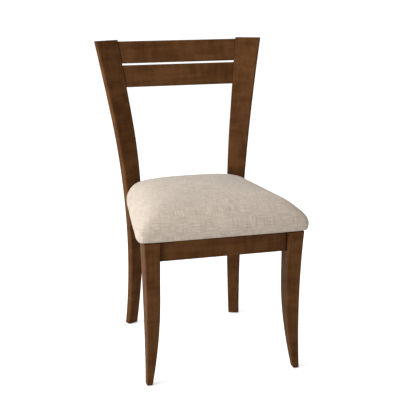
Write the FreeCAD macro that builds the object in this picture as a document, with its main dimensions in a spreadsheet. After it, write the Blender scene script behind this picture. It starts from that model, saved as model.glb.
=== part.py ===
import FreeCAD, Part
import math
import os
import re

import Sketcher

# Ladder back dining chair with an upholstered seat.
# Front of the chair faces -Y, +Z is up, the origin is on the floor under the middle of the chair.

doc = FreeCAD.newDocument("LadderBackChair")
Vector = FreeCAD.Vector

# Driving dimensions in millimetres and degrees
SIZES = {
    "chair_height": 890,
    "glide_height": 3,
    "glide_radius": 6.2,
    "glide_edge": 1.2,
    "nail_radius": 1.1,
    "nail_length": 12,
    # Back posts, in a frame turned about Z: outward along the post's width, backward along its thickness
    "post_twist": 22,
    "post_waist_height": 316,
    "post_waist_back": 208.0,
    "post_waist_thickness": 24.1,
    "post_front_radius": 1550,
    "post_front_straight": 694,
    "post_rear_radius": 1655,
    "post_rear_straight": 671,
    "post_inner_waist": 61.0,
    "post_inner_waist_height": 450,
    "post_inner_lower_radius": 19570,
    "post_inner_upper_radius": 4306,
    "post_inner_straight": 632,
    "post_foot_outer": 99.5,
    "post_top_outer": 153.6,
    "post_outer_radius": 7990,
    "post_edge_round": 4,
    "post_end_round": 1.5,
    # Front legs
    "frame_top": 407,
    "leg_outer_waist": 217,
    "leg_outer_waist_height": 172,
    "leg_outer_radius": 4067,
    "leg_inner": 179.7,
    "leg_inner_curve": 249,
    "leg_inner_radius": 1244,
    "leg_front_waist": 255.7,
    "leg_front_waist_height": 163,
    "leg_front_radius": 3684,
    "leg_rear": 202.5,
    "leg_rear_curve": 297,
    "leg_rear_radius": 1053,
    "leg_rear_straight": 143.5,
    "leg_edge_round": 3,
    # Seat frame
    "apron_height": 57.5,
    "apron_thickness": 20,
    "apron_edge_round": 1.5,
    "front_apron_face": 244.5,
    "rear_apron_setback": 1.2,
    "rear_apron_thickness": 30,
    "side_apron_start": 198,
    "side_apron_angle": 6,
    "block_height": 32,
    "block_gap": 4,
    "block_reach": 58,
    "block_notch": 14,
    "shoulder_waste": 20,
    # Back rails
    "rail_height": 65.6,
    "rail_thickness": 13.5,
    "rail_setback": 1.0,
    "rail_edge_round": 1.5,
    "crest_drop": 3.8,
    "rail_slot": 6.3,
    # Dowels
    "frame_dowel_radius": 4,
    "frame_dowel_depth": 18,
    "post_dowel_depth": 12,
    "frame_dowel_spacing": 28,
    "rail_dowel_radius": 3,
    "rail_dowel_depth": 14,
    "rail_dowel_spacing": 34,
    "dowel_clearance": 0.1,
    "dowel_end_gap": 1,
    # Screws
    "screw_radius": 2,
    "screw_head_radius": 4,
    "screw_head_height": 2.5,
    "screw_tip": 4,
    "screw_clearance": 0.15,
    "block_screw_bite": 12,
    "block_screw_grip": 16,
    "block_screw_inset": 23,
    "seat_screw_bite": 9,
    "seat_screw_recess": 10,
    "seat_screw_inset": 18,
    "seat_screw_offset": 7,
    # Seat
    "seat_front": 266.7,
    "seat_front_half_width": 243,
    "seat_side_angle": 7.2,
    "seat_rear": 180,
    "seat_rear_radius": 845,
    "seat_front_corner": 14,
    "seat_rear_corner": 59,
    "seat_bulge_height": 12.7,
    "seat_bulge_tuck": 5.2,
    "seat_roll_width": 96,
    "seat_roll_height": 78.5,
    "seat_roll_angle": 72.5,
    "seat_crown": 12,
    "cover_thickness": 1.5,
    "cover_return": 38,
    "soft_gap": 0.3,
    "panel_thickness": 12,
    "panel_inset": 14,
    "dust_cover_thickness": 0.8,
    "dust_cover_inset": 22,
}

sheet = doc.addObject("Spreadsheet::Sheet", "Sizes")
for row, (alias, number) in enumerate(SIZES.items(), 1):
    sheet.set(f"A{row}", alias)
    sheet.set(f"B{row}", str(number))
    sheet.setAlias(f"B{row}", alias)
doc.recompute()


def formula(text):
    """Expression text with each size's name pointing at its cell."""
    return re.sub(r"[a-z]+(_[a-z]+)+", lambda found: "Sizes." + found.group(), text)


def value(text):
    """Number that a formula of sizes gives."""
    return float(sheet.evalExpression(formula(text)))


def bind(thing, **formulas):
    """Tie properties of a document object to the sheet."""
    for name, text in formulas.items():
        thing.setExpression(name, formula(text))


# Curves of the posts and legs

def bow(waist, radius, waist_height, height):
    """Offset at a height of an arc that stands upright at its waist."""
    return f"({waist} + {radius} - sqrt({radius}^2 - ({height} - {waist_height})^2))"


def lean(radius, waist_height, height):
    """Slope of that arc at a height."""
    return f"(({height} - {waist_height}) / sqrt({radius}^2 - ({height} - {waist_height})^2))"


def bow_and_line(waist, radius, waist_height, straight, height):
    """Offset at a height above the arc's end, on the line that carries it on."""
    start = bow(waist, radius, waist_height, straight)
    return f"({start} + ({height} - {straight}) * {lean(radius, waist_height, straight)})"


def post_front(height):
    return bow("post_waist_back", "post_front_radius", "post_waist_height", height)


def post_front_upper(height):
    return bow_and_line(
        "post_waist_back", "post_front_radius", "post_waist_height", "post_front_straight", height
    )


POST_REAR = "(post_waist_back + post_waist_thickness)"


def post_rear(height):
    return bow(POST_REAR, "post_rear_radius", "post_waist_height", height)


def post_rear_upper(height):
    return bow_and_line(POST_REAR, "post_rear_radius", "post_waist_height", "post_rear_straight", height)


def chair_x(outward, backward):
    """Place along the chair's X of a point given in the posts' turned frame."""
    return f"({outward} * cos(post_twist) + {backward} * sin(post_twist))"


def chair_y(outward, backward):
    """Place along the chair's Y of a point given in the posts' turned frame."""
    return f"({backward} * cos(post_twist) - {outward} * sin(post_twist))"


def post_inner_lower(height):
    return bow("post_inner_waist", "post_inner_lower_radius", "post_inner_waist_height", height)


def post_inner_middle(height):
    return bow("post_inner_waist", "post_inner_upper_radius", "post_inner_waist_height", height)


def post_inner_upper(height):
    return bow_and_line(
        "post_inner_waist", "post_inner_upper_radius", "post_inner_waist_height",
        "post_inner_straight", height,
    )


# Sketching

def sketch_on(body, role):
    """Empty sketch on one of the body's own origin planes."""
    sketch = body.newObject("Sketcher::SketchObject", body.Name + "Outline")
    plane = next(feature for feature in body.Origin.OriginFeatures if feature.Role == role)
    sketch.AttachmentSupport = (plane, "")
    sketch.MapMode = "FlatFace"
    return sketch


def arc_between(start, end, radius):
    """Arc with its belly on the right of its way for a positive radius, else on the left."""
    middle = (start + end) * 0.5
    way = end - start
    half = way.Length / 2
    rise = abs(radius) - math.sqrt(radius**2 - half**2)
    right = Vector(way.y, -way.x, 0).normalize()
    return Part.Arc(start, middle + right * math.copysign(rise, radius), end)


def draw(sketch, corners):
    """Closed outline. Each corner is (x, y) or (x, y, radius of the arc that leaves it), all formulas."""
    points = [Vector(value(corner[0]), value(corner[1]), 0) for corner in corners]
    ends = []
    for index, corner in enumerate(corners):
        start = points[index]
        end = points[(index + 1) % len(points)]
        if len(corner) == 3:
            edge = sketch.addGeometry(arc_between(start, end, value(corner[2])))
        else:
            edge = sketch.addGeometry(Part.LineSegment(start, end))
        first, last = [sketch.getPoint(edge, number).distanceToPoint(start) for number in (1, 2)]
        ends.append((edge, 1, 2) if first < last else (edge, 2, 1))
    for index, corner in enumerate(corners):
        edge, first, last = ends[index]
        following, following_first, _ = ends[(index + 1) % len(ends)]
        sketch.addConstraint(Sketcher.Constraint("Coincident", edge, last, following, following_first))
        point = points[index]
        across = sketch.addConstraint(Sketcher.Constraint("DistanceX", -1, 1, edge, first, point.x))
        up = sketch.addConstraint(Sketcher.Constraint("DistanceY", -1, 1, edge, first, point.y))
        sketch.setExpression(f"Constraints[{across}]", formula(corner[0]))
        sketch.setExpression(f"Constraints[{up}]", formula(corner[1]))
        if len(corner) == 3:
            bend = sketch.addConstraint(Sketcher.Constraint("Radius", edge, abs(value(corner[2]))))
            sketch.setExpression(f"Constraints[{bend}]", formula(f"abs({corner[2]})"))


def sawn(name, role, corners, length):
    """Body padded both ways from an outline on an origin plane."""
    body = doc.addObject("PartDesign::Body", name)
    sketch = sketch_on(body, role)
    draw(sketch, corners)
    pad = body.newObject("PartDesign::Pad", name + "Pad")
    pad.Profile = sketch
    pad.SideType = "Symmetric"
    bind(pad, Length=length)
    doc.recompute()
    return body


def slab(name, corners, bottom, height):
    """Body padded upwards from a plan outline, standing at a height."""
    body = doc.addObject("PartDesign::Body", name)
    sketch = sketch_on(body, "XY_Plane")
    draw(sketch, corners)
    pad = body.newObject("PartDesign::Pad", name + "Pad")
    pad.Profile = sketch
    bind(pad, Length=height)
    body.setExpression("Placement.Base.z", formula(bottom))
    doc.recompute()
    return body


def eased(body, radius, wanted):
    """Round the edges of a body that a test picks."""
    base = body.Tip
    names = [f"Edge{index}" for index, edge in enumerate(base.Shape.Edges, 1) if wanted(edge)]
    fillet = body.newObject("PartDesign::Fillet", body.Name + "Eased")
    fillet.Base = (base, names)
    bind(fillet, Radius=radius)
    body.Tip = fillet
    doc.recompute()
    return body


# Solids from other solids

def common(name, first, second):
    both = doc.addObject("Part::Common", name)
    both.Base = first
    both.Tool = second
    doc.recompute()
    return both


def group(name, members):
    """Separate solids held in one object."""
    held = doc.addObject("Part::Compound", name)
    held.Links = members
    doc.recompute()
    return held


def cut(name, base, tools):
    rest = doc.addObject("Part::Cut", name)
    rest.Base = base
    rest.Tool = tools[0] if len(tools) == 1 else group(name + "Tools", tools)
    doc.recompute()
    return rest


def mirrored(name, source):
    """Copy on the other side of the chair's middle plane."""
    other = doc.addObject("Part::Mirroring", name)
    other.Source = source
    other.Normal = Vector(1, 0, 0)
    doc.recompute()
    return other


def rounded(name, base, radius, wanted):
    """Round the edges of a solid that a test picks."""
    fillet = doc.addObject("Part::Fillet", name)
    fillet.Base = base
    size = value(radius)
    fillet.Edges = [(index, size, size) for index, edge in enumerate(base.Shape.Edges, 1) if wanted(edge)]
    doc.recompute()
    return fillet


def rising(edge):
    """Edge that climbs more than it runs level."""
    box = edge.BoundBox
    return box.ZLength > 0.5 * edge.Length


def level_at(height):
    """Test for edges that lie level at a height."""
    def level(edge):
        return edge.BoundBox.ZLength < 0.01 and abs(edge.BoundBox.ZMin - height) < 0.01
    return level


# Pegs: dowels and screws, each along an axis from a point

def along(point, axis):
    """Placement at a point with +Z along an axis."""
    return FreeCAD.Placement(point, FreeCAD.Rotation(Vector(0, 0, 1), axis))


def rod(name, point, axis, radius, start, end):
    """Cylinder along an axis, from start to end measured from the point."""
    peg = doc.addObject("Part::Cylinder", name)
    bind(peg, Radius=radius, Height=f"({end}) - ({start})")
    peg.Placement = along(point + axis * value(start), axis)
    return peg


# Back posts: side outline and front outline sawn from one blank, then rounded

TWIST = math.radians(value("post_twist"))
OUTWARD = Vector(math.cos(TWIST), -math.sin(TWIST), 0)
BACKWARD = Vector(math.sin(TWIST), math.cos(TWIST), 0)
UP = Vector(0, 0, 1)
TOP = "chair_height"
FOOT = "glide_height"


def turn_with_post(body):
    body.setExpression("Placement.Rotation.Angle", formula("-post_twist"))
    doc.recompute()
    return body


post_side = turn_with_post(sawn("PostSide", "YZ_Plane", [
    (post_front(FOOT), FOOT, "-post_front_radius"),
    (post_front("post_front_straight"), "post_front_straight"),
    (post_front_upper(TOP), TOP),
    (post_rear_upper(TOP), TOP),
    (post_rear("post_rear_straight"), "post_rear_straight", "post_rear_radius"),
    (post_rear(FOOT), FOOT),
], "4 * post_top_outer"))

post_face = turn_with_post(sawn("PostFace", "XZ_Plane", [
    (post_inner_lower(FOOT), FOOT, "-post_inner_lower_radius"),
    ("post_inner_waist", "post_inner_waist_height", "-post_inner_upper_radius"),
    (post_inner_middle("post_inner_straight"), "post_inner_straight"),
    (post_inner_upper(TOP), TOP),
    ("post_top_outer", TOP, "post_outer_radius"),
    ("post_foot_outer", FOOT),
], "4 * post_waist_back"))

post_blank = common("PostBlank", post_side, post_face)
post_soft = rounded("PostRounded", post_blank, "post_edge_round", rising)
post_shape = rounded("PostEnds", post_soft, "post_end_round", level_at(value(TOP)))
post_shoulders = [post_face, mirrored("PostFaceLeft", post_face)]


# Front legs: curved outwards and forwards at the foot

def leg_front(height):
    return bow("leg_front_waist", "leg_front_radius", "leg_front_waist_height", height)


def leg_outer(height):
    return bow("leg_outer_waist", "leg_outer_radius", "leg_outer_waist_height", height)


def leg_inner_foot(height):
    return bow("leg_inner", "leg_inner_radius", "leg_inner_curve", height)


def leg_rear_bend(height):
    return bow("leg_rear", "leg_rear_radius", "leg_rear_curve", height)


LEG_REAR_LEAN = lean("leg_rear_radius", "leg_rear_curve", "leg_rear_straight")
LEG_REAR_FOOT = f"({leg_rear_bend('leg_rear_straight')} - (leg_rear_straight - {FOOT}) * {LEG_REAR_LEAN})"

leg_side = sawn("LegSide", "YZ_Plane", [
    ("-" + leg_front(FOOT), FOOT, "leg_front_radius"),
    ("-" + leg_front("frame_top"), "frame_top"),
    ("-leg_rear", "frame_top"),
    ("-leg_rear", "leg_rear_curve", "-leg_rear_radius"),
    ("-" + leg_rear_bend("leg_rear_straight"), "leg_rear_straight"),
    ("-" + LEG_REAR_FOOT, FOOT),
], "4 * leg_outer_waist")

leg_face = sawn("LegFace", "XZ_Plane", [
    (leg_inner_foot(FOOT), FOOT, "-leg_inner_radius"),
    ("leg_inner", "leg_inner_curve"),
    ("leg_inner", "frame_top"),
    (leg_outer("frame_top"), "frame_top", "leg_outer_radius"),
    (leg_outer(FOOT), FOOT),
], "4 * leg_front_waist")

leg_blank = common("LegBlank", leg_side, leg_face)
leg_shape = rounded("LegRounded", leg_blank, "leg_edge_round", rising)
leg_shoulders = [leg_face, mirrored("LegFaceLeft", leg_face)]


# Seat frame: four aprons sawn to their shoulders

APRON_BOTTOM = "(frame_top - apron_height)"
APRON_MIDDLE = "(frame_top - apron_height / 2)"
POST_EDGE_ACROSS = chair_x(post_inner_lower(APRON_MIDDLE), post_front(APRON_MIDDLE))
POST_EDGE_BACK = chair_y(post_inner_lower(APRON_MIDDLE), post_front(APRON_MIDDLE))
FRONT_INSIDE = "(apron_thickness - front_apron_face)"
REAR_BACK = f"({POST_EDGE_BACK} + rear_apron_setback + apron_thickness)"
REAR_FACE = f"({REAR_BACK} - rear_apron_thickness)"
SIDE_LENGTH = (
    f"(({post_front(APRON_MIDDLE)} - side_apron_start * sin(post_twist) + leg_rear * cos(post_twist))"
    " / cos(post_twist + side_apron_angle))"
)


def side_inside(back):
    """How far out the right side apron's inner face is, at a distance back."""
    along_apron = f"(({back}) + leg_rear) * tan(side_apron_angle)"
    return f"(side_apron_start - {along_apron} - apron_thickness / 2 / cos(side_apron_angle))"


def board(start, end):
    """Upright rectangle of the aprons' height, between two places along Y."""
    return [(start, APRON_BOTTOM), (end, APRON_BOTTOM), (end, "frame_top"), (start, "frame_top")]


def long_edge(edge):
    return edge.Length > value("2 * apron_height")


front_blank = sawn(
    "FrontApronBlank", "YZ_Plane", board("-front_apron_face", FRONT_INSIDE),
    "2 * (leg_inner + shoulder_waste)",
)
eased(front_blank, "apron_edge_round", long_edge)
front_apron = cut("FrontApronSawn", front_blank, leg_shoulders)

rear_blank = sawn(
    "RearApronBlank", "YZ_Plane", board(REAR_FACE, REAR_BACK),
    f"2 * ({POST_EDGE_ACROSS} + shoulder_waste)",
)
eased(rear_blank, "apron_edge_round", long_edge)
rear_apron = cut("RearApronSawn", rear_blank, post_shoulders)

side_blank = sawn(
    "SideApronBlank", "YZ_Plane", board("-shoulder_waste / 2", f"{SIDE_LENGTH} + shoulder_waste / 2"),
    "apron_thickness",
)
eased(side_blank, "apron_edge_round", long_edge)
bind(side_blank, **{
    "Placement.Base.x": "side_apron_start",
    "Placement.Base.y": "-leg_rear",
    "Placement.Rotation.Angle": "side_apron_angle",
})
doc.recompute()
side_apron = cut("SideApronSawn", side_blank, [leg_side, post_side])


# Back rails: leaning with the posts, a slot between them

FACE_LEAN = lean("post_front_radius", "post_waist_height", "post_front_straight")
EDGE_LEAN = lean("post_inner_upper_radius", "post_inner_waist_height", "post_inner_straight")
RAIL_LEAN = f"atan({chair_y(EDGE_LEAN, FACE_LEAN)})"
CREST_TOP = "(chair_height - crest_drop)"
CREST_BACK = f"({chair_y(post_inner_upper(CREST_TOP), post_front_upper(CREST_TOP))} + rail_setback)"
RAIL_REACH = f"({chair_x(post_inner_upper(CREST_TOP), post_front_upper(CREST_TOP))} + shoulder_waste)"


def rail_corner(down, behind):
    """Corner of a rail's section, down its front face from the crest's top edge and behind that face."""
    back = f"{CREST_BACK} - ({down}) * sin({RAIL_LEAN}) + ({behind}) * cos({RAIL_LEAN})"
    height = f"{CREST_TOP} - ({down}) * cos({RAIL_LEAN}) - ({behind}) * sin({RAIL_LEAN})"
    return back, height


def rail(name, top):
    """Rail whose upper edge is a distance down the back from the crest's top edge."""
    bottom = f"{top} + rail_height"
    section = [
        rail_corner(bottom, "0"), rail_corner(bottom, "rail_thickness"),
        rail_corner(top, "rail_thickness"), rail_corner(top, "0"),
    ]
    blank = sawn(name + "Blank", "YZ_Plane", section, f"2 * {RAIL_REACH}")
    eased(blank, "rail_edge_round", lambda edge: edge.Length > value("2 * rail_height"))
    return cut(name + "Sawn", blank, post_shoulders)


LOWER_START = "rail_height + rail_slot"
crest_rail = rail("CrestRail", "0")
lower_rail = rail("LowerRail", LOWER_START)


# Corner blocks, notched round the legs and posts

BLOCK_BOTTOM = "(frame_top - block_height)"
FRONT_NOTCH = "(block_gap - leg_rear)"
REAR_NOTCH = f"({POST_EDGE_BACK} - block_notch)"
FRONT_BLOCK_SIDE = "(leg_inner - block_gap)"
REAR_BLOCK_SIDE = f"({POST_EDGE_ACROSS} - block_gap)"

front_block = slab("FrontBlock", [
    (f"{FRONT_BLOCK_SIDE} - block_reach", FRONT_INSIDE),
    (FRONT_BLOCK_SIDE, FRONT_INSIDE),
    (FRONT_BLOCK_SIDE, FRONT_NOTCH),
    (side_inside(FRONT_NOTCH), FRONT_NOTCH),
    (side_inside(f"{FRONT_NOTCH} + block_reach"), f"{FRONT_NOTCH} + block_reach"),
], BLOCK_BOTTOM, "block_height")

rear_block = slab("RearBlock", [
    (f"{REAR_BLOCK_SIDE} - block_reach", REAR_FACE),
    (REAR_BLOCK_SIDE, REAR_FACE),
    (REAR_BLOCK_SIDE, REAR_NOTCH),
    (side_inside(REAR_NOTCH), REAR_NOTCH),
    (side_inside(f"{REAR_NOTCH} - block_reach"), f"{REAR_NOTCH} - block_reach"),
], BLOCK_BOTTOM, "block_height")


# Dowels: each joint's pegs and the holes for them, on the right-hand side

def dowels(name, seats, radius, depth_in, depth_out):
    """Pegs and their holes at seats of (point, outward axis), to depths in the rail and the upright."""
    pegs = []
    holes = []
    for index, (point, axis) in enumerate(seats, 1):
        pegs.append(rod(f"{name}Peg{index}", point, axis, radius, f"-{depth_in}", depth_out))
        holes.append(rod(
            f"{name}Hole{index}", point, axis, f"{radius} + dowel_clearance",
            f"-{depth_in} - dowel_end_gap", f"{depth_out} + dowel_end_gap",
        ))
    doc.recompute()
    held = group(name + "Right", pegs)
    return group(name, [held, mirrored(name + "Left", held)]), group(name + "Holes", holes)


def apron_heights():
    middle = value(APRON_MIDDLE)
    half = value("frame_dowel_spacing / 2")
    return [middle - half, middle + half]


def turned(degrees):
    """Level axis that points right, turned from +X about +Z."""
    angle = math.radians(degrees)
    return Vector(math.cos(angle), math.sin(angle), 0)


def inner_face_seat(back, height, inner):
    """Point on the post's inner face at a distance back."""
    across = (inner + back * math.sin(TWIST)) / math.cos(TWIST)
    return Vector(across, back, height)


HALF_TURN = turned(-value("post_twist / 2"))
front_seats = []
rear_seats = []
side_front_seats = []
side_rear_seats = []
side_way = turned(90 + value("side_apron_angle"))
side_start = Vector(value("side_apron_start"), value("-leg_rear"), 0)
front_middle = value(f"{FRONT_INSIDE} - apron_thickness / 2")
rear_middle = value(f"{REAR_BACK} - apron_thickness / 2")
for height in apron_heights():
    front_seats.append((Vector(value("leg_inner"), front_middle, height), turned(0)))
    inner = value(post_inner_lower(str(height)))
    rear_seats.append((inner_face_seat(rear_middle, height, inner), HALF_TURN))
    side_front_seats.append((side_start + UP * height, side_way * -1))
    side_rear_seats.append((side_start + side_way * value(SIDE_LENGTH) + UP * height, side_way))


def rail_seats(top):
    """Places of a rail's two dowels on the right-hand post."""
    places = []
    for step in (-0.5, 0.5):
        down = f"{top} + rail_height / 2 + {step} * rail_dowel_spacing"
        back, height = rail_corner(down, "rail_thickness / 2")
        level = value(height)
        inner = value(post_inner_upper(str(level)))
        places.append((inner_face_seat(value(back), level, inner), HALF_TURN))
    return places


LEG_PEG = ("frame_dowel_radius", "frame_dowel_depth", "frame_dowel_depth")
POST_PEG = ("frame_dowel_radius", "frame_dowel_depth", "post_dowel_depth")
RAIL_PEG = ("rail_dowel_radius", "rail_dowel_depth", "rail_dowel_depth")
front_dowels, front_holes = dowels("FrontApronDowels", front_seats, *LEG_PEG)
rear_dowels, rear_holes = dowels("RearApronDowels", rear_seats, *POST_PEG)
side_front_dowels, side_front_holes = dowels("SideFrontDowels", side_front_seats, *LEG_PEG)
side_rear_dowels, side_rear_holes = dowels("SideRearDowels", side_rear_seats, *POST_PEG)
crest_dowels, crest_holes = dowels("CrestDowels", rail_seats("0"), *RAIL_PEG)
lower_dowels, lower_holes = dowels("LowerDowels", rail_seats(LOWER_START), *RAIL_PEG)


# Screws: a head, a shank and a tip along an axis

def screw(name, seat, axis, length):
    """Screw whose head rests on the seat, pointing along the axis."""
    head = rod(name + "Head", seat, axis, "screw_head_radius", "-screw_head_height", "0")
    shank = rod(name + "Shank", seat, axis, "screw_radius", "0", f"{length} - screw_tip")
    tip = doc.addObject("Part::Cone", name + "Tip")
    bind(tip, Radius1="screw_radius", Radius2="screw_radius / 4", Height="screw_tip")
    tip.Placement = along(seat + axis * value(f"{length} - screw_tip"), axis)
    whole = doc.addObject("Part::MultiFuse", name)
    whole.Shapes = [head, shank, tip]
    doc.recompute()
    return whole


def screw_hole(name, seat, axis, length, recess):
    """Clearance for a screw, with a recess behind its head."""
    head_radius = "screw_head_radius + screw_clearance"
    shank_radius = "screw_radius + screw_clearance"
    head_way = rod(name + "Recess", seat, axis, head_radius, f"-({recess})", "0")
    shank_way = rod(name + "Way", seat, axis, shank_radius, "0", f"{length} + screw_clearance")
    return [head_way, shank_way]


BLOCK_SCREW = "block_screw_grip + block_screw_bite"
SEAT_BOTTOM = "(frame_top + dust_cover_thickness)"
PANEL_BOTTOM = "(frame_top + dust_cover_thickness + cover_thickness)"
SEAT_SCREW = f"({PANEL_BOTTOM} + seat_screw_bite - {BLOCK_BOTTOM} - seat_screw_recess)"
SCREW_LEVEL = value("frame_top - block_height / 2")


def face_point(across, back):
    return Vector(value(across), value(back), SCREW_LEVEL)


SCREW_REACH = "block_reach - block_screw_inset"
front_screw_back = f"{FRONT_NOTCH} + {SCREW_REACH}"
rear_screw_back = f"{REAR_NOTCH} - ({SCREW_REACH})"
side_axis = turned(value("side_apron_angle"))
block_screws = {
    "FrontBlockFront": (face_point(f"{FRONT_BLOCK_SIDE} - ({SCREW_REACH})", FRONT_INSIDE), turned(-90)),
    "FrontBlockSide": (face_point(side_inside(front_screw_back), front_screw_back), side_axis),
    "RearBlockRear": (face_point(f"{REAR_BLOCK_SIDE} - ({SCREW_REACH})", REAR_FACE), turned(90)),
    "RearBlockSide": (face_point(side_inside(rear_screw_back), rear_screw_back), side_axis),
}
screw_bodies = []
screw_holes = {}
for name, (face, axis) in block_screws.items():
    seat = face - axis * value("block_screw_grip")
    screw_bodies.append(screw(name + "Screw", seat, axis, BLOCK_SCREW))
    screw_holes[name] = screw_hole(name, seat, axis, BLOCK_SCREW, "block_reach")

seat_screw_level = value(f"{BLOCK_BOTTOM} + seat_screw_recess")
seat_screws = {
    "FrontSeat": (f"{FRONT_BLOCK_SIDE} - seat_screw_inset", f"{FRONT_NOTCH} + seat_screw_offset"),
    "RearSeat": (f"{REAR_BLOCK_SIDE} - seat_screw_offset", f"{REAR_NOTCH} - seat_screw_inset"),
}
seat_screw_bodies = []
for name, (across, back) in seat_screws.items():
    seat = Vector(value(across), value(back), seat_screw_level)
    seat_screw_bodies.append(screw(name + "Screw", seat, UP, SEAT_SCREW))
    screw_holes[name] = screw_hole(name, seat, UP, SEAT_SCREW, "block_height")


def both_sides(name, members):
    right = group(name + "Right", members)
    return group(name, [right, mirrored(name + "Left", right)])


# Foot glides: a domed foot with a nail

def glide(name, across, back):
    """Glide under the middle of a foot, with the hole that its nail makes."""
    body = doc.addObject("PartDesign::Body", name)
    sketch = sketch_on(body, "XZ_Plane")
    draw(sketch, [
        ("0", "0"),
        ("glide_radius - glide_edge", "0", "glide_edge"),
        ("glide_radius", "glide_edge"),
        ("glide_radius", "glide_height"),
        ("nail_radius", "glide_height"),
        ("nail_radius", "glide_height + nail_length"),
        ("0", "glide_height + nail_length"),
    ])
    turn = body.newObject("PartDesign::Revolution", name + "Turn")
    turn.Profile = sketch
    turn.ReferenceAxis = (sketch, ["V_Axis"])
    turn.Angle = 360
    bind(body, **{"Placement.Base.x": across, "Placement.Base.y": back})
    doc.recompute()
    place = Vector(value(across), value(back), 0)
    hole_top = f"{FOOT} + nail_length + dowel_end_gap"
    hole = rod(name + "Hole", place, UP, "nail_radius + dowel_clearance", FOOT, hole_top)
    return body, hole


LEG_FOOT_ACROSS = f"({leg_inner_foot(FOOT)} + {leg_outer(FOOT)}) / 2"
LEG_FOOT_BACK = f"-({leg_front(FOOT)} + {LEG_REAR_FOOT}) / 2"
leg_glide, leg_nail_hole = glide("LegGlide", LEG_FOOT_ACROSS, LEG_FOOT_BACK)
FOOT_OUTWARD = f"(({post_inner_lower(FOOT)} + post_foot_outer) / 2)"
FOOT_BACKWARD = f"(({post_front(FOOT)} + {post_rear(FOOT)}) / 2)"
post_glide, post_nail_hole = glide(
    "PostGlide", chair_x(FOOT_OUTWARD, FOOT_BACKWARD), chair_y(FOOT_OUTWARD, FOOT_BACKWARD)
)


# Seat: one outline for the cushion, panel, cover and dust cover, set in by different amounts

def seat_outline(inset, height, scale=1.0):
    """Closed outline of lines and arcs: straight front and sides, bowed rear, round corners."""
    angle = math.radians(value("seat_side_angle"))
    normal = Vector(math.cos(angle), math.sin(angle), 0)
    side_way = Vector(-math.sin(angle), math.cos(angle), 0)
    front = inset - value("seat_front")
    side = value("seat_front_half_width") * normal.x - value("seat_front") * normal.y - inset
    front_round = value("seat_front_corner")
    rear_round = value("seat_rear_corner")
    rear_centre = Vector(0, value("seat_rear - seat_rear_radius"), 0)
    rear_radius = value("seat_rear_radius") - inset
    centre_back = front + front_round
    front_centre = Vector((side - front_round - centre_back * normal.y) / normal.x, centre_back, 0)
    foot = normal * (side - rear_round)
    reach = foot - rear_centre
    half_way = reach.dot(side_way)
    climb = math.sqrt(half_way**2 - reach.dot(reach) + (rear_radius - rear_round) ** 2) - half_way
    corner_centre = foot + side_way * climb
    rear_way = (corner_centre - rear_centre).normalize()
    front_way = Vector(0, -1, 0)
    right = [
        front_centre + front_way * front_round,
        front_centre + (normal + front_way).normalize() * front_round,
        front_centre + normal * front_round,
        corner_centre + normal * rear_round,
        corner_centre + (normal + rear_way).normalize() * rear_round,
        rear_centre + rear_way * rear_radius,
    ]
    middle = Vector(0, value("seat_rear - seat_front") / 2, 0)

    def placed(point, side_sign):
        set_in = middle + (Vector(point.x * side_sign, point.y, 0) - middle) * scale
        return Vector(set_in.x, set_in.y, height)

    def half(side_sign):
        """Front corner, side and rear corner on one side of the middle."""
        points = [placed(point, side_sign) for point in right]
        return [Part.Arc(*points[:3]), Part.LineSegment(*points[2:4]), Part.Arc(*points[3:])]

    front_edge = Part.LineSegment(placed(right[0], -1), placed(right[0], 1))
    rear_middle = rear_centre + Vector(0, rear_radius, 0)
    rear_edge = Part.Arc(placed(right[-1], 1), placed(rear_middle, 1), placed(right[-1], -1))
    edges = [front_edge] + half(1) + [rear_edge] + half(-1)[::-1]
    return Part.Wire([edge.toShape() for edge in edges])


ROLL_STEPS = 5
CROWN_STEPS = 4


def cushion(skin):
    """Crowned form with drawn-in sides, a skin's thickness inside the cover's outer face."""
    bottom = value(SEAT_BOTTOM)
    bulge = bottom + value("seat_bulge_height")
    sections = [seat_outline(value("seat_bulge_tuck") + skin, bottom + skin)]
    for step in range(ROLL_STEPS + 1):
        angle = math.radians(value("seat_roll_angle") * step / ROLL_STEPS)
        inset = value("seat_roll_width") * (1 - math.cos(angle)) + skin * math.cos(angle)
        height = bulge + (value("seat_roll_height") - skin) * math.sin(angle)
        sections.append(seat_outline(inset, height))
    for step in range(1, CROWN_STEPS):
        scale = 1 - step / CROWN_STEPS
        sections.append(seat_outline(inset, height + value("seat_crown") * (1 - scale**2), scale))
    return Part.makeLoft(sections, True, True)


def plate(inset, bottom, thickness):
    """Flat sheet of the seat's outline, set in."""
    return Part.Face(seat_outline(inset, bottom)).extrude(UP * thickness)


def shaped(name, shape):
    thing = doc.addObject("Part::Feature", name)
    thing.Shape = shape
    return thing


panel_bottom = value(PANEL_BOTTOM)
below = value("frame_top") - panel_bottom
window = plate(value("seat_bulge_tuck + cover_return"), value("frame_top"), -below)
cover_blank = shaped("CoverBlank", cushion(0).cut(cushion(value("cover_thickness"))).cut(window))
panel_room = plate(
    value("panel_inset - soft_gap"), value("frame_top"), value("panel_thickness") - below
)
foam = cushion(value("cover_thickness + soft_gap")).cut(panel_room)
panel_blank = shaped("PanelBlank", plate(value("panel_inset"), panel_bottom, value("panel_thickness")))
dust_blank = shaped(
    "DustBlank", plate(value("dust_cover_inset"), value("frame_top"), value("dust_cover_thickness"))
)

seat_ways = both_sides("SeatScrewWays", screw_holes["FrontSeat"] + screw_holes["RearSeat"])


# Finished sub-parts

nodes = {}


def keep(label, thing):
    thing.Label = label
    nodes[label] = thing


def keep_pair(label, right):
    """Right-hand piece and its left-hand mirror image."""
    keep(label + "_right", right)
    keep(label + "_left", mirrored(right.Name + "Mirrored", right))


front_apron_screws = both_sides("FrontApronWays", [front_holes] + screw_holes["FrontBlockFront"])
rear_apron_screws = both_sides("RearApronWays", [rear_holes] + screw_holes["RearBlockRear"])
side_screws = screw_holes["FrontBlockSide"] + screw_holes["RearBlockSide"]

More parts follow.
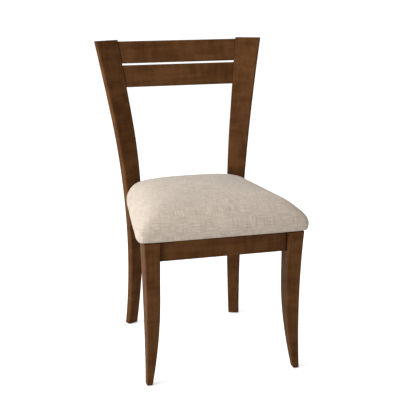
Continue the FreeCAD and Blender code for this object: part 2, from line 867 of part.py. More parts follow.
keep_pair("back_post", cut(
    "BackPost", post_shape, [crest_holes, lower_holes, rear_holes, side_rear_holes, post_nail_hole]
))
keep_pair("front_leg", cut("FrontLeg", leg_shape, [front_holes, side_front_holes, leg_nail_hole]))
keep("crest_rail", cut("CrestRail", crest_rail, [both_sides("CrestWays", [crest_holes])]))
keep("lower_back_rail", cut("LowerRail", lower_rail, [both_sides("LowerWays", [lower_holes])]))
keep("front_apron", cut("FrontApron", front_apron, [front_apron_screws]))
keep("rear_apron", cut("RearApron", rear_apron, [rear_apron_screws]))
keep_pair("side_apron", cut("SideApron", side_apron, [side_front_holes, side_rear_holes] + side_screws))
keep_pair("corner_block_front", cut("CornerBlockFront", front_block, (
    screw_holes["FrontBlockFront"] + screw_holes["FrontBlockSide"] + screw_holes["FrontSeat"]
)))
keep_pair("corner_block_rear", cut("CornerBlockRear", rear_block, (
    screw_holes["RearBlockRear"] + screw_holes["RearBlockSide"] + screw_holes["RearSeat"]
)))
keep("crest_rail_dowels", crest_dowels)
keep("lower_rail_dowels", lower_dowels)
keep("front_apron_dowels", front_dowels)
keep("rear_apron_dowels", rear_dowels)
keep("side_apron_front_dowels", side_front_dowels)
keep("side_apron_rear_dowels", side_rear_dowels)
keep("corner_block_screws", both_sides("BlockScrews", screw_bodies))
keep("seat_screws", both_sides("SeatScrews", seat_screw_bodies))
keep("seat_panel", cut("SeatPanel", panel_blank, [seat_ways]))
keep("seat_foam", shaped("SeatFoam", foam))
keep("seat_cover", cut("SeatCover", cover_blank, [seat_ways]))
keep("dust_cover", cut("DustCover", dust_blank, [seat_ways]))
keep_pair("glide_front", leg_glide)
keep_pair("glide_rear", post_glide)

# Every object sound before anything is written
doc.recompute()
for thing in doc.Objects:
    if "Invalid" in thing.State or "Error" in thing.State:
        raise RuntimeError(f"{thing.Name} did not recompute: {thing.State}")
for label, thing in nodes.items():
    if thing.Shape.isNull() or not thing.Shape.isValid():
        raise RuntimeError(f"{label} has no sound shape")

os.makedirs("parts", exist_ok=True)
for label, thing in nodes.items():
    thing.Shape.exportStep(f"parts/{label}.step")
    print(f"{label}: {len(thing.Shape.Solids)} solids, {thing.Shape.Volume / 1000:.1f} cubic centimetres")
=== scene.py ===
import math

import bpy
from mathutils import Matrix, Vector


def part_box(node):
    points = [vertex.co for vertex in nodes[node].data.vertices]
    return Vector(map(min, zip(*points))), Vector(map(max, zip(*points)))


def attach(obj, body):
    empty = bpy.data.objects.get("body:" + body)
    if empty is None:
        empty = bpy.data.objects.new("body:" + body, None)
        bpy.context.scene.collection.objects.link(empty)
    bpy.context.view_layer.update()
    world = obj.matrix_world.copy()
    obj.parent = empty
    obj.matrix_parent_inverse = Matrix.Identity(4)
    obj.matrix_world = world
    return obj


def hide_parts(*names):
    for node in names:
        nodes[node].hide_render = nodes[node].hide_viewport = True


# Ladder back dining chair: stained wood frame and a crowned seat in woven linen

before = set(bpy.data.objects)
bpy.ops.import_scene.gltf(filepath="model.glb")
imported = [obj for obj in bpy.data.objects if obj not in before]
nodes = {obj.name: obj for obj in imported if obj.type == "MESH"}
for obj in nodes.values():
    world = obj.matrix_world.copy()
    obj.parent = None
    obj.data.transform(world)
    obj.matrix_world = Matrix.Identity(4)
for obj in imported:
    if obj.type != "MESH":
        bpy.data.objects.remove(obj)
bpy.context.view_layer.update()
scene = bpy.context.scene
MILLIMETRE = 0.001
MERGE_DISTANCE = 0.01 * MILLIMETRE


# Small helpers

def select_only(thing):
    """Object mode, with one object selected and active."""
    if bpy.context.object and bpy.context.object.mode != "OBJECT":
        bpy.ops.object.mode_set(mode="OBJECT")
    bpy.ops.object.select_all(action="DESELECT")
    thing.select_set(True)
    bpy.context.view_layer.objects.active = thing


def copy_of_node(node, name):
    """A separate object with its own merged copy of a CAD node's mesh."""
    piece = bpy.data.objects.new(name, nodes[node].data.copy())
    scene.collection.objects.link(piece)
    select_only(piece)
    bpy.ops.object.mode_set(mode="EDIT")
    bpy.ops.mesh.select_all(action="SELECT")
    bpy.ops.mesh.remove_doubles(threshold=MERGE_DISTANCE)
    bpy.ops.object.mode_set(mode="OBJECT")
    piece.data.materials.clear()
    return piece


def filled_copy(node, name):
    """Closed convex form around a CAD node."""
    piece = copy_of_node(node, name)
    bpy.ops.object.mode_set(mode="EDIT")
    bpy.ops.mesh.select_all(action="SELECT")
    bpy.ops.mesh.convex_hull()
    bpy.ops.mesh.select_all(action="SELECT")
    bpy.ops.mesh.normals_make_consistent(inside=False)
    bpy.ops.object.mode_set(mode="OBJECT")
    return piece


def apply_modifier(piece, name, kind, **settings):
    """Put a modifier on a piece and apply it."""
    select_only(piece)
    modifier = piece.modifiers.new(name, kind)
    for setting, given in settings.items():
        setattr(modifier, setting, given)
    bpy.ops.object.modifier_apply(modifier=modifier.name)


# Shader helpers

def feed(tree, socket, given):
    """Constant or link for a socket."""
    if isinstance(given, bpy.types.NodeSocket):
        tree.links.new(given, socket)
    else:
        socket.default_value = given


def supply(tree, node, **values):
    """Constants or links for a node's inputs, named as its inputs are."""
    for name, given in values.items():
        feed(tree, node.inputs[name.replace("_", " ")], given)


def add(tree, kind, settings=None, **values):
    """New shader node with its settings and inputs."""
    node = tree.nodes.new(kind)
    for name, setting in (settings or {}).items():
        setattr(node, name, setting)
    supply(tree, node, **values)
    return node


def calculate(tree, operation, *operands):
    """Math node on constants and sockets."""
    node = add(tree, "ShaderNodeMath", {"operation": operation})
    for socket, given in zip(node.inputs, operands):
        feed(tree, socket, given)
    return node.outputs["Value"]


def agreement(tree, first, second):
    """How far two directions point the same way."""
    node = add(tree, "ShaderNodeVectorMath", {"operation": "DOT_PRODUCT"})
    feed(tree, node.inputs[0], first)
    feed(tree, node.inputs[1], second)
    return node.outputs["Value"]


def ranged(tree, amount, low, high, new_low=0.0, new_high=1.0):
    """Smooth map of a value from one range to another, held inside it."""
    node = add(
        tree, "ShaderNodeMapRange", {"interpolation_type": "SMOOTHSTEP"},
        Value=amount, From_Min=low, From_Max=high, To_Min=new_low, To_Max=new_high,
    )
    return node.outputs["Result"]


def blended(tree, amount, first, second, blend_type="MIX"):
    """Colour between two colours, each a constant or a socket."""
    node = add(tree, "ShaderNodeMix", {"data_type": "RGBA", "blend_type": blend_type})
    colour_inputs = [socket for socket in node.inputs if socket.type == "RGBA"]
    for socket, given in zip([node.inputs[0]] + colour_inputs, (amount, first, second)):
        feed(tree, socket, given)
    return next(socket for socket in node.outputs if socket.type == "RGBA")


def tinted(tree, colour, mask, share, tint):
    """Colour with a share of a tint wherever the mask is."""
    return blended(tree, calculate(tree, "MULTIPLY", mask, share), colour, tint)


def stretched(tree, vector, scale):
    """Coordinates scaled along each axis."""
    return add(tree, "ShaderNodeMapping", Vector=vector, Scale=scale).outputs["Vector"]


def turned(tree, vector, turn):
    """Coordinates turned by Euler angles."""
    return add(tree, "ShaderNodeMapping", Vector=vector, Rotation=turn).outputs["Vector"]


def noise(tree, vector, scale, detail=2.0, roughness=0.5):
    """Cloudy value from 0 to 1."""
    node = add(
        tree, "ShaderNodeTexNoise", Vector=vector, Scale=scale, Detail=detail, Roughness=roughness
    )
    return node.outputs["Fac"]


def coordinates(tree, kind):
    """The piece's own coordinates of one kind."""
    return add(tree, "ShaderNodeTexCoord").outputs[kind]


def new_group(name, inputs, outputs):
    """Empty shader node group with named sockets, and its two ends."""
    tree = bpy.data.node_groups.new(name, "ShaderNodeTree")
    for label, kind in inputs.items():
        tree.interface.new_socket(label, in_out="INPUT", socket_type=kind)
    for label, kind in outputs.items():
        tree.interface.new_socket(label, in_out="OUTPUT", socket_type=kind)
    return tree, tree.nodes.new("NodeGroupInput"), tree.nodes.new("NodeGroupOutput")


def use_group(tree, group, **values):
    """The group placed in a material, with its own values."""
    return add(tree, "ShaderNodeGroup", {"node_tree": group}, **values)


def new_material(name):
    """Material with an empty tree, its shader and its output."""
    material = bpy.data.materials.new(name)
    material.use_nodes = True
    tree = material.node_tree
    tree.nodes.clear()
    shader = tree.nodes.new("ShaderNodeBsdfPrincipled")
    output = tree.nodes.new("ShaderNodeOutputMaterial")
    tree.links.new(shader.outputs["BSDF"], output.inputs["Surface"])
    return material, tree, shader


def bump(tree, shader, height, depth, strength):
    """Fine relief on a shader."""
    node = add(tree, "ShaderNodeBump", Height=height, Distance=depth, Strength=strength)
    supply(tree, shader, Normal=node.outputs["Normal"])


# Shared effects

VECTOR = "NodeSocketVector"
FLOAT = "NodeSocketFloat"
# Middle part of a noise's values, where nearly all of them lie
MIDDLE = (0.3, 0.7)
# Layers of the grain: stretch along each axis, scale, detail and roughness of the noise
GRAIN_LAYERS = {
    "drift": ((1, 1, 0.35), 20, 3, 0.55),
    "ripple": ((0.3, 0.3, 1), 45, 2, 0.5),
    "rings": ((1, 1, 0.05), 110, 3, 0.6),
    "streaks": ((1, 1, 0.03), 420, 4, 0.6),
    "pores": ((1, 1, 0.05), 1500, 1, 0.5),
}
TONE_SHARES = {"drift": 0.4, "ripple": 0.35, "rings": 0.25}
PORE_RANGE = (0.62, 0.72)
END_GRAIN_RANGE = (0.7, 0.95)
EDGE_RANGE = (0.995, 0.9)
EDGE_SAMPLES = 4
PATCH_SCALE = 45
PATCH_RANGE = (0.35, 0.65)
# Ambient occlusion settings for the painted shade in inside corners
PAINTED_SHADE_RANGE = (0.85, 0.5)
PAINTED_SHADE_SAMPLES = 8
SLUB_LENGTH_IN_THREADS = 45.0
SLUB_STEP = 0.4


def make_wood_grain():
    """Grain along the vector's Z: drifting tone with ripples across it, narrow streaks, short pores.

    End is the share of a face that cuts across the grain.
    """
    tree, start, end = new_group(
        "Wood Grain", {"Vector": VECTOR, "Normal": VECTOR},
        {"Tone": FLOAT, "Streaks": FLOAT, "Pores": FLOAT, "End": FLOAT},
    )
    layers = {}
    for name, (stretch, scale, detail, roughness) in GRAIN_LAYERS.items():
        place = stretched(tree, start.outputs["Vector"], stretch)
        layers[name] = noise(tree, place, scale, detail, roughness)
    tone = 0.0
    for name, share in TONE_SHARES.items():
        tone = calculate(tree, "MULTIPLY_ADD", layers[name], share, tone)
    facing = add(tree, "ShaderNodeSeparateXYZ", Vector=start.outputs["Normal"]).outputs["Z"]
    across_grain = calculate(tree, "ABSOLUTE", facing)
    supply(
        tree, end, Tone=tone, Streaks=layers["streaks"],
        Pores=ranged(tree, layers["pores"], *PORE_RANGE),
        End=ranged(tree, across_grain, *END_GRAIN_RANGE),
    )
    return tree


def make_edge_wear():
    """Mask along the edges of a piece, broken up so that it isn't even."""
    tree, start, end = new_group("Edge Wear", {"Vector": VECTOR, "Width": FLOAT}, {"Mask": FLOAT})
    soft = add(tree, "ShaderNodeBevel", {"samples": EDGE_SAMPLES}, Radius=start.outputs["Width"])
    sharp = add(tree, "ShaderNodeNewGeometry")
    flatness = agreement(tree, soft.outputs["Normal"], sharp.outputs["Normal"])
    edge = ranged(tree, flatness, *EDGE_RANGE)
    patches = ranged(tree, noise(tree, start.outputs["Vector"], PATCH_SCALE, detail=3), *PATCH_RANGE)
    supply(tree, end, Mask=calculate(tree, "MULTIPLY", edge, patches))
    return tree


def make_painted_joint_shade():
    """Mask in narrow inside corners, for painted shade where light hardly reaches and for stain gathered
    there.
    """
    tree, start, end = new_group("Painted Joint Shade", {"Reach": FLOAT}, {"Mask": FLOAT})
    openness = add(
        tree, "ShaderNodeAmbientOcclusion", {"samples": PAINTED_SHADE_SAMPLES}, Distance=start.outputs["Reach"]
    )
    supply(tree, end, Mask=ranged(tree, openness.outputs["AO"], *PAINTED_SHADE_RANGE))
    return tree


def make_linen_weave():
    """Plain weave on flat cloth coordinates in metres: thread relief, and uneven threads both ways."""
    tree, start, end = new_group(
        "Linen Weave", {"Vector": VECTOR, "Thread": FLOAT},
        {"Height": FLOAT, "Warp": FLOAT, "Weft": FLOAT},
    )
    thread = start.outputs["Thread"]
    place = add(tree, "ShaderNodeSeparateXYZ", Vector=start.outputs["Vector"])
    across = calculate(tree, "DIVIDE", place.outputs["X"], thread)
    along = calculate(tree, "DIVIDE", place.outputs["Y"], thread)

    def thread_profile(count):
        """Round back of each thread, across a count of threads."""
        half_turns = calculate(tree, "MULTIPLY", count, math.pi)
        return calculate(tree, "ABSOLUTE", calculate(tree, "SINE", half_turns))

    warp_number = calculate(tree, "FLOOR", across)
    weft_number = calculate(tree, "FLOOR", along)
    over = calculate(tree, "PINGPONG", calculate(tree, "ADD", warp_number, weft_number), 1.0)
    under = calculate(tree, "SUBTRACT", 1.0, over)
    warp_height = calculate(tree, "MULTIPLY", thread_profile(across), over)
    weft_height = calculate(tree, "MULTIPLY", thread_profile(along), under)

    def slubs(number, way):
        """Thick and thin places along each thread, and threads of different shades."""
        step = calculate(tree, "MULTIPLY", number, SLUB_STEP)
        spot = add(tree, "ShaderNodeCombineXYZ", X=step, Y=way)
        uneven = noise(tree, spot.outputs["Vector"], 1.0, detail=2, roughness=0.6)
        return ranged(tree, uneven, *MIDDLE)

    slub_length = calculate(tree, "MULTIPLY", thread, SLUB_LENGTH_IN_THREADS)
    warp_way = calculate(tree, "DIVIDE", place.outputs["Y"], slub_length)
    weft_way = calculate(tree, "DIVIDE", place.outputs["X"], slub_length)
    supply(
        tree, end, Height=calculate(tree, "ADD", warp_height, weft_height),
        Warp=slubs(warp_number, warp_way), Weft=slubs(weft_number, weft_way),
    )
    return tree


wood_grain = make_wood_grain()
edge_wear = make_edge_wear()
painted_joint_shade = make_painted_joint_shade()
linen_weave = make_linen_weave()


# Finishes

QUARTER = math.pi / 2
ALONG_Z = (0.0, 0.0, 0.0)
ALONG_X = (0.0, QUARTER, 0.0)
ALONG_Y = (QUARTER, 0.0, 0.0)

# Woods: dark, light and pore colours, roughness and specular level
STAIN = ((0.049, 0.0191, 0.0060, 1), (0.0925, 0.0393, 0.0139, 1), (0.022, 0.0075, 0.0018, 1), 0.48, 0.02)
BEECH = ((0.34, 0.22, 0.12, 1), (0.50, 0.35, 0.21, 1), (0.34, 0.22, 0.12, 1), 0.75, 0.2)
PLYWOOD = ((0.40, 0.28, 0.16, 1), (0.58, 0.43, 0.27, 1), (0.40, 0.28, 0.16, 1), 0.75, 0.2)
TONE_RANGE = (0.36, 0.64)
STREAK_RANGE = (0.35, 0.7)
STREAK_SHARE = 0.3
PORE_SHARE = 0.35
END_GRAIN_SHARE = 0.55
SMOOTHER = 0.05
ROUGHER = 0.07
STREAK_RELIEF = 0.4
GRAIN_DEPTH = 0.12 * MILLIMETRE
GRAIN_STRENGTH = 0.35

# Wear and painted joint shade of the stained pieces
WEAR_COLOUR = (0.110, 0.048, 0.016, 1)
WEAR_WIDTH = 2.5 * MILLIMETRE
WEAR_SHARE = 0.35
# Near-black painted shade laid into inside corners between pieces
PAINTED_SHADE_COLOUR = (0.004, 0.0015, 0.0005, 1)
PAINTED_SHADE_SHARE = 0.95
PAINTED_SHADE_REACH = 5 * MILLIMETRE
APRON_PAINTED_SHADE_REACH = 12 * MILLIMETRE

# Linen and its threads
LINEN_PALE = (0.445, 0.381, 0.318, 1)
LINEN_GREY = (0.283, 0.232, 0.186, 1)
LINEN_CREAM = (0.47, 0.411, 0.348, 1)
WEFT_SHARE = 0.45
CLOUD_SCALE = 9
CLOUD_SHADES = (0.97, 1.02)
THREAD_WIDTH = 0.8 * MILLIMETRE
THREAD_DEPTH = 0.25 * MILLIMETRE
THREAD_STRENGTH = 0.5

# Dark and light colours of the small fittings
DUST_CLOTH = ((0.006, 0.006, 0.007, 1), (0.035, 0.035, 0.037, 1))
NYLON = ((0.016, 0.011, 0.008, 1), (0.05, 0.037, 0.028, 1))
NYLON_ROUGHNESS = (0.35, 0.6)
ZINC = ((0.42, 0.40, 0.34, 1), (0.62, 0.60, 0.54, 1))
ZINC_ROUGHNESS = (0.25, 0.45)


def wood(name, turn, kind, painted_shade_reach=0.0):
    """Wood with its grain turned to run along the piece. A shade reach adds worn edges and painted shade in
    the joints.
    """
    dark, light, pore, roughness, specular = kind
    material, tree, shader = new_material(name)
    place = coordinates(tree, "Object")
    vector = turned(tree, place, turn)
    normal = turned(tree, coordinates(tree, "Normal"), turn)
    grain = use_group(tree, wood_grain, Vector=vector, Normal=normal)
    streaks = grain.outputs["Streaks"]
    pores = grain.outputs["Pores"]
    colour = blended(tree, ranged(tree, grain.outputs["Tone"], *TONE_RANGE), dark, light)
    colour = blended(tree, ranged(tree, streaks, *STREAK_RANGE, 0.0, STREAK_SHARE), colour, dark)
    colour = tinted(tree, colour, pores, PORE_SHARE, pore)
    colour = tinted(tree, colour, grain.outputs["End"], END_GRAIN_SHARE, pore)
    if painted_shade_reach:
        wear = use_group(tree, edge_wear, Vector=place, Width=WEAR_WIDTH)
        colour = tinted(tree, colour, wear.outputs["Mask"], WEAR_SHARE, WEAR_COLOUR)
        painted_shade = use_group(tree, painted_joint_shade, Reach=painted_shade_reach)
        # Painted shade: inside corners darkened almost to black wherever ambient occlusion finds them
        colour = tinted(tree, colour, painted_shade.outputs["Mask"], PAINTED_SHADE_SHARE, PAINTED_SHADE_COLOUR)
    gloss = ranged(tree, streaks, *MIDDLE, roughness - SMOOTHER, roughness + ROUGHER)
    supply(tree, shader, Base_Color=colour, Roughness=gloss, Specular_IOR_Level=specular)
    raised = calculate(tree, "MULTIPLY", streaks, STREAK_RELIEF)
    relief = calculate(tree, "SUBTRACT", raised, pores)
    bump(tree, shader, relief, GRAIN_DEPTH, GRAIN_STRENGTH)
    return material


def linen():
    """Heathered beige linen, thread by thread."""
    material, tree, shader = new_material("Linen")
    flat = add(tree, "ShaderNodeUVMap", {"uv_map": "cloth"}).outputs["UV"]
    weave = use_group(tree, linen_weave, Vector=flat, Thread=THREAD_WIDTH)
    heather = blended(tree, weave.outputs["Warp"], LINEN_GREY, LINEN_PALE)
    crossing = blended(tree, weave.outputs["Weft"], LINEN_GREY, LINEN_CREAM)
    colour = blended(tree, WEFT_SHARE, heather, crossing)
    cloudy = noise(tree, coordinates(tree, "Object"), CLOUD_SCALE, detail=2)
    clouds = ranged(tree, cloudy, *MIDDLE, *CLOUD_SHADES)
    shade = add(tree, "ShaderNodeCombineColor", Red=clouds, Green=clouds, Blue=clouds)
    colour = blended(tree, 1.0, colour, shade.outputs["Color"], "MULTIPLY")
    supply(
        tree, shader, Base_Color=colour, Roughness=0.92, Specular_IOR_Level=0.15,
        Sheen_Weight=0.12, Sheen_Roughness=0.5,
    )
    bump(tree, shader, weave.outputs["Height"], THREAD_DEPTH, THREAD_STRENGTH)
    return material


def spunbond():
    """Thin black dust cloth of pressed fibres."""
    material, tree, shader = new_material("DustCloth")
    place = stretched(tree, coordinates(tree, "Object"), (1, 1.7, 1))
    fibres = noise(tree, place, 900, detail=4, roughness=0.7)
    supply(tree, shader, Base_Color=blended(tree, fibres, *DUST_CLOTH), Roughness=0.9)
    bump(tree, shader, fibres, 0.2 * MILLIMETRE, 0.4)
    return material


def nylon():
    """Dark moulded nylon, scuffed."""
    material, tree, shader = new_material("Nylon")
    place = stretched(tree, coordinates(tree, "Object"), (1, 4, 1))
    scuffs = noise(tree, place, 700, detail=3)
    gloss = ranged(tree, scuffs, *MIDDLE, *NYLON_ROUGHNESS)
    supply(tree, shader, Base_Color=blended(tree, scuffs, *NYLON), Roughness=gloss)
    bump(tree, shader, scuffs, 0.05 * MILLIMETRE, 0.3)
    return material


def zinc():
    """Zinc-plated steel."""
    material, tree, shader = new_material("Zinc")
    spangle = noise(tree, coordinates(tree, "Object"), 600, detail=2)
    gloss = ranged(tree, spangle, *MIDDLE, *ZINC_ROUGHNESS)
    supply(tree, shader, Base_Color=blended(tree, spangle, *ZINC), Metallic=1.0, Roughness=gloss)
    return material


finishes = {
    "upright": wood("StainedUpright", ALONG_Z, STAIN, PAINTED_SHADE_REACH),
    "across": wood("StainedAcross", ALONG_X, STAIN, PAINTED_SHADE_REACH),
    "apron": wood("StainedApron", ALONG_X, STAIN, APRON_PAINTED_SHADE_REACH),
    "front_to_back": wood("StainedFrontToBack", ALONG_Y, STAIN, APRON_PAINTED_SHADE_REACH),
    "block": wood("BeechBlock", ALONG_X, BEECH),
    "dowel": wood("BeechDowel", ALONG_X, BEECH),
    "panel": wood("Plywood", ALONG_Y, PLYWOOD),
    "linen": linen(),
    "dust_cloth": spunbond(),
    "nylon": nylon(),
    "zinc": zinc(),
}

FINISH_BY_START = {
    "back_post": "upright",
    "front_leg": "upright",
    "crest_rail": "across",
    "lower_back_rail": "across",
    "front_apron": "apron",
    "rear_apron": "apron",
    "side_apron": "front_to_back",
    "corner_block": "block",
    "seat_panel": "panel",
    "seat_foam": "linen",
    "seat_cover": "linen",
    "dust_cover": "dust_cloth",
    "glide": "nylon",
}


def finish_of(node):
    """Finish of a CAD node, from its name."""
    if node.endswith("_dowels"):
        return finishes["dowel"]
    if node.endswith("_screws"):
        return finishes["zinc"]
    return next(finishes[finish] for start, finish in FINISH_BY_START.items() if node.startswith(start))


for name, piece in nodes.items():
    for slot in piece.material_slots:
        slot.material = finish_of(name)


# Seat cushion: tightly covered foam, crowned, with its cover turned under the edge

CUSHION_VOXEL = 5.2 * MILLIMETRE
CUSHION_SWELL = 1.5 * MILLIMETRE
CUSHION_SINK = 0.2 * MILLIMETRE
EASING_FACTOR = 0.5
CROWN_EASING = 30
ROLL_EASING = 5
ROLL_HEIGHT = 37.0 * MILLIMETRE
TURN_HEIGHT = 4.0 * MILLIMETRE
CLOTH_PRESSURE = 4.0
CLOTH_FRAMES = 20
COVER_THICKNESS = 1.5 * MILLIMETRE
PANEL_CLEARANCE = 1.003
WINDOW_SHARE = 0.94
EDGE_SPREAD = 1.018
EDGE_DEPTH = 1.0 * MILLIMETRE
SMOOTH_ANGLE = math.radians(40)
# Front corners in plan, eased within a reach and between two heights, in millimetres
FRONT_CORNERS = ((-240, -262), (240, -262))
CORNER_REACH = 125
CORNER_LOW = 408
CORNER_HIGH = 440
CORNER_EASING = 60
# Places where the seat is fuller or, with a minus, drawn in
# Each has its place, its reach each way, and how far out and up it goes, in millimetres
FULLER_PLACES = (
    ((-172, 112, 470), (75, 75, 75), 5.6, 5.6),
    ((172, 112, 470), (75, 75, 75), 1.5, 0.5),
    ((-222, -80, 432), (60, 210, 40), 3.0, 0.5),
    ((222, -80, 432), (60, 210, 40), 3.0, 0.5),
    ((-236, -232, 434), (60, 75, 36), 3.5, 1.0),
    ((236, -232, 437), (62, 78, 42), 5.2, 2.4),
    ((-240, -264, 413), (44, 44, 16), -4.0, 0.8),
    ((240, -264, 413), (44, 44, 16), -4.0, 0.8),
)


def edit_above(piece, height):
    """Edit mode, with the points above a height selected."""
    select_only(piece)
    bpy.ops.object.mode_set(mode="EDIT")
    bpy.ops.mesh.select_mode(type="VERT")
    bpy.ops.mesh.select_all(action="DESELECT")
    bpy.ops.object.mode_set(mode="OBJECT")
    for vertex in piece.data.vertices:
        vertex.select = vertex.co.z > height
    bpy.ops.object.mode_set(mode="EDIT")


def smoothed(piece, height, repeat):
    """Ease the form above a height."""
    edit_above(piece, height)
    bpy.ops.mesh.vertices_smooth(factor=EASING_FACTOR, repeat=repeat)
    bpy.ops.object.mode_set(mode="OBJECT")


def spread(vertices, middle, share):
    """Scale points in plan about a middle."""
    for vertex in vertices:
        vertex.co.x = middle.x + (vertex.co.x - middle.x) * share
        vertex.co.y = middle.y + (vertex.co.y - middle.y) * share


def swollen(piece, height, most, sink):
    """Press the cloth outwards above a height, over foam that lets it move out or sink only so far."""
    start = [vertex.co.copy() for vertex in piece.data.vertices]
    outward = [vertex.normal.copy() for vertex in piece.data.vertices]
    held = piece.vertex_groups.new(name="held")
    held.add([index for index, place in enumerate(start) if place.z <= height], 1.0, "REPLACE")
    select_only(piece)
    cloth = piece.modifiers.new("Cover", "CLOTH")
    cloth.settings.vertex_group_mass = held.name
    cloth.settings.use_pressure = True
    cloth.settings.uniform_pressure_force = CLOTH_PRESSURE
    cloth.settings.effector_weights.gravity = 0
    cloth.point_cache.frame_start = 1
    cloth.point_cache.frame_end = CLOTH_FRAMES
    for step in range(1, CLOTH_FRAMES + 1):
        scene.frame_set(step)
    bpy.ops.object.modifier_apply(modifier=cloth.name)
    scene.frame_set(1)
    for vertex, origin, normal in zip(piece.data.vertices, start, outward):
        move = vertex.co - origin
        move += normal * max(0.0, -sink - move.dot(normal))
        vertex.co = origin + move * min(1.0, most / max(move.length, sink))


def fading(distance):
    """1 at no distance, easing to 0 at a distance of 1."""
    share = min(1.0, max(0.0, 1 - distance))
    return share * share * (3 - 2 * share)


def mark_near(piece, share_of):
    """Vertex group of each point's share, from its place in millimetres."""
    near = piece.vertex_groups.new(name="near")
    for vertex in piece.data.vertices:
        near.add([vertex.index], share_of(*(vertex.co / MILLIMETRE)), "REPLACE")


def rounder(piece, corner):
    """Ease the form round an upright corner, from nothing at the low height to all of it at the high one."""
    def share_of(x, y, z):
        aside = math.hypot(x - corner[0], y - corner[1]) / CORNER_REACH
        below = (CORNER_HIGH - z) / (CORNER_HIGH - CORNER_LOW)
        return fading(aside) * fading(below)

    mark_near(piece, share_of)
    apply_modifier(
        piece, "Rounder", "SMOOTH",
        factor=EASING_FACTOR, iterations=CORNER_EASING, vertex_group="near",
    )
    piece.vertex_groups.clear()


def filled_out(piece, place, reach, out, up):
    """Swell a piece sideways and up round a place, fading over the reach. All in millimetres."""
    def share_of(*point):
        return fading(math.hypot(*((a - b) / c for a, b, c in zip(point, place, reach))))

    mark_near(piece, share_of)
    for direction, distance in (("X", out if place[0] > 0 else -out), ("Z", up)):
        apply_modifier(
            piece, "Fuller", "DISPLACE",
            direction=direction, strength=distance * MILLIMETRE, mid_level=0, vertex_group="near",
        )
    piece.vertex_groups.clear()


def carved(piece, tool):
    """Take a tool's room out of a piece."""
    apply_modifier(piece, "Room", "BOOLEAN", operation="DIFFERENCE", solver="EXACT", object=tool)
    bpy.data.objects.remove(tool)


def panel_tool(name, share, bottom, top):
    """Plate of the seat panel's outline, scaled about its middle, between two heights."""
    tool = filled_copy("seat_panel", name)
    low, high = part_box("seat_panel")
    middle = (low + high) / 2
    spread(tool.data.vertices, middle, share)
    for vertex in tool.data.vertices:
        vertex.co.z = top if vertex.co.z > middle.z else bottom
    return tool


def cloth_map(piece):
    """Flat coordinates in metres on the cloth, laid straight down each side."""
    select_only(piece)
    bpy.ops.object.mode_set(mode="EDIT")
    bpy.ops.mesh.select_all(action="SELECT")
    piece.data.uv_layers.new(name="cloth")
    bpy.ops.uv.cube_project(cube_size=1.0, correct_aspect=False, scale_to_bounds=False)
    bpy.ops.object.mode_set(mode="OBJECT")


def seat_cushion():
    """Cover and foam as one soft piece, hollowed for the panel, with its edge turned under it."""
    cover_low, cover_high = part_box("seat_cover")
    panel_low, panel_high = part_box("seat_panel")
    piece = filled_copy("seat_cover", "seat_cushion")
    lower_edge = [vertex for vertex in piece.data.vertices if vertex.co.z < cover_low.z + EDGE_DEPTH]
    spread(lower_edge, (cover_low + cover_high) / 2, EDGE_SPREAD)
    apply_modifier(piece, "EvenMesh", "REMESH", mode="VOXEL", voxel_size=CUSHION_VOXEL)
    roll_top = cover_low.z + ROLL_HEIGHT
    swollen(piece, roll_top, CUSHION_SWELL, CUSHION_SINK)
    smoothed(piece, roll_top, CROWN_EASING)
    for corner in FRONT_CORNERS:
        rounder(piece, corner)
    for fuller_place in FULLER_PLACES:
        filled_out(piece, *fuller_place)
    smoothed(piece, cover_low.z + TURN_HEIGHT, ROLL_EASING)
    apply_modifier(piece, "Finer", "SUBSURF", levels=1, render_levels=1)
    room_top = panel_high.z + COVER_THICKNESS
    carved(piece, panel_tool("panel_room", PANEL_CLEARANCE, panel_low.z, room_top))
    window_bottom = cover_low.z - COVER_THICKNESS
    window_top = panel_low.z + COVER_THICKNESS
    carved(piece, panel_tool("cover_window", WINDOW_SHARE, window_bottom, window_top))
    select_only(piece)
    bpy.ops.object.shade_smooth_by_angle(angle=SMOOTH_ANGLE)
    cloth_map(piece)
    piece.data.materials.append(finishes["linen"])
    return piece


cushion = seat_cushion()
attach(cushion, "root")
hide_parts("seat_cover", "seat_foam")


# Studio: pale floor, white surround that dims to the right and front, soft key light from the left

WHITE = (1, 1, 1, 1)
FLOOR_WIDTH = 30
FLOOR_COLOUR = (0.70, 0.70, 0.70, 1)
FLOOR_GLOW = 0.45
BRIGHTEST_WAY = (-0.5, 0.85, 0)
SURROUND_RANGE = (-0.7, 0.45)
SURROUND_DIM = 0.68
SURROUND_BRIGHT = 1.06
LIGHT_AIM = (0, 0, 0.45)
LIGHT_SIZE = 1.6
KEY_PLACE = (-2.55, -0.3, 1.85)
KEY_POWER = 98
FILL_PLACE = (-2.1, -2.1, 0.8)
FILL_POWER = 36


def seen_by_camera(tree, strength):
    """The strength where the camera looks straight at it, and 0 elsewhere."""
    camera_ray = add(tree, "ShaderNodeLightPath").outputs["Is Camera Ray"]
    return calculate(tree, "MULTIPLY", camera_ray, strength)


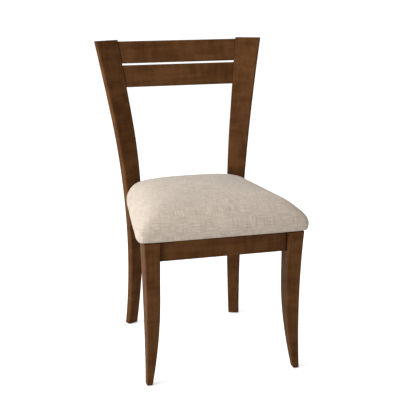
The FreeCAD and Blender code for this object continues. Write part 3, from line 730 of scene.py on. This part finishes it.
def pale_floor():
    """Wide floor that looks almost white."""
    bpy.ops.object.select_all(action="DESELECT")
    bpy.ops.mesh.primitive_plane_add(size=FLOOR_WIDTH, location=(0, 0, 0))
    plane = bpy.context.object
    plane.name = "floor"
    material, tree, shader = new_material("PaleFloor")
    supply(
        tree, shader, Base_Color=FLOOR_COLOUR, Roughness=0.9, Specular_IOR_Level=0.1,
        Emission_Color=WHITE, Emission_Strength=seen_by_camera(tree, FLOOR_GLOW),
    )
    plane.data.materials.append(material)
    return plane


def surround():
    """White world that lights the room more from one side, and looks equally bright to the camera."""
    world = bpy.data.worlds.new("Surround")
    world.use_nodes = True
    tree = world.node_tree
    side = agreement(tree, coordinates(tree, "Generated"), Vector(BRIGHTEST_WAY).normalized())
    light = ranged(tree, side, *SURROUND_RANGE, SURROUND_DIM, SURROUND_BRIGHT)
    strength = calculate(tree, "MAXIMUM", light, seen_by_camera(tree, SURROUND_BRIGHT))
    supply(tree, tree.nodes["Background"], Color=WHITE, Strength=strength)
    scene.world = world


def soft_light(name, place, power):
    """Square area light at a place, facing the chair."""
    lamp = bpy.data.lights.new(name, "AREA")
    lamp.size = LIGHT_SIZE
    lamp.energy = power
    holder = bpy.data.objects.new(name, lamp)
    holder.location = place
    holder.rotation_euler = (Vector(LIGHT_AIM) - Vector(place)).to_track_quat("-Z", "Y").to_euler()
    scene.collection.objects.link(holder)


floor = pale_floor()
surround()
soft_light("key", KEY_PLACE, KEY_POWER)
soft_light("fill", FILL_PLACE, FILL_POWER)


# Camera at the photograph's angle

VIEW_TARGET = Vector((0, -0.0015, 0.445))
VIEW_AZIMUTH = math.radians(-15.51)
VIEW_ELEVATION = math.radians(14.74)
VIEW_DISTANCE = 2.693
VIEW_LENS = 82.98
SENSOR_WIDTH = 36

camera = bpy.data.objects.new("camera", bpy.data.cameras.new("camera"))
camera.data.lens = VIEW_LENS
camera.data.sensor_width = SENSOR_WIDTH
towards_camera = Vector((
    math.sin(VIEW_AZIMUTH) * math.cos(VIEW_ELEVATION),
    -math.cos(VIEW_AZIMUTH) * math.cos(VIEW_ELEVATION),
    math.sin(VIEW_ELEVATION),
))
camera.location = VIEW_TARGET + towards_camera * VIEW_DISTANCE
camera.rotation_euler = (-towards_camera).to_track_quat("-Z", "Y").to_euler()
scene.collection.objects.link(camera)
scene.camera = camera
scene.view_settings.view_transform = "Standard"
